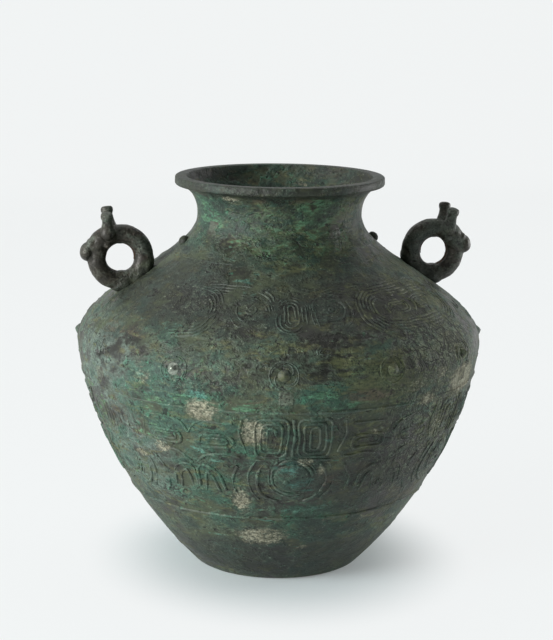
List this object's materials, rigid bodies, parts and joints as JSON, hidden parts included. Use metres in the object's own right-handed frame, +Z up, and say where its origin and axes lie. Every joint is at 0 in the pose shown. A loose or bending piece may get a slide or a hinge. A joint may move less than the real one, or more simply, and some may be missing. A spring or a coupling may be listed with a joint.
{
  "type": "bronze lei wine jar",
  "caption": "Broad-shouldered archaic bronze jar with a flared mouth, a flat foot and a fixed ring handle with a horned animal head on each shoulder.",
  "frame": {"origin": "centre of the flat face that the jar rests on", "axes": "+Z up along the jar's axis, +X through the middle of one ring handle, -Y the side that faces the viewer"},
  "size_m": [0.3772, 0.3772, 0.365],
  "materials": {
    "body_bronze": "corroded green and brown patina, matt to satin",
    "handle_bronze": "dark brown-grey patina, matt",
    "chaplet_bronze": "paler weathered bronze, matt",
    "core_clay": "fired clay, matt"
  },
  "bodies": {
    "root": {"vessel_body": "body_bronze", "handle_loop_left": "handle_bronze", "handle_loop_right": "handle_bronze", "handle_core_left": "core_clay", "handle_core_right": "core_clay", "horn_left_front": "handle_bronze", "horn_left_back": "handle_bronze", "horn_right_front": "handle_bronze", "horn_right_back": "handle_bronze", "chaplet_lower_1": "chaplet_bronze", "chaplet_lower_2": "chaplet_bronze", "chaplet_lower_3": "chaplet_bronze", "chaplet_lower_4": "chaplet_bronze", "chaplet_lower_5": "chaplet_bronze", "chaplet_lower_6": "chaplet_bronze", "chaplet_belly_1": "chaplet_bronze", "chaplet_belly_2": "chaplet_bronze", "chaplet_belly_3": "chaplet_bronze", "chaplet_belly_4": "chaplet_bronze", "chaplet_belly_5": "chaplet_bronze", "chaplet_belly_6": "chaplet_bronze", "chaplet_neck_1": "chaplet_bronze", "chaplet_neck_2": "chaplet_bronze", "chaplet_neck_3": "chaplet_bronze", "chaplet_neck_4": "chaplet_bronze"}
  },
  "joints": []
}
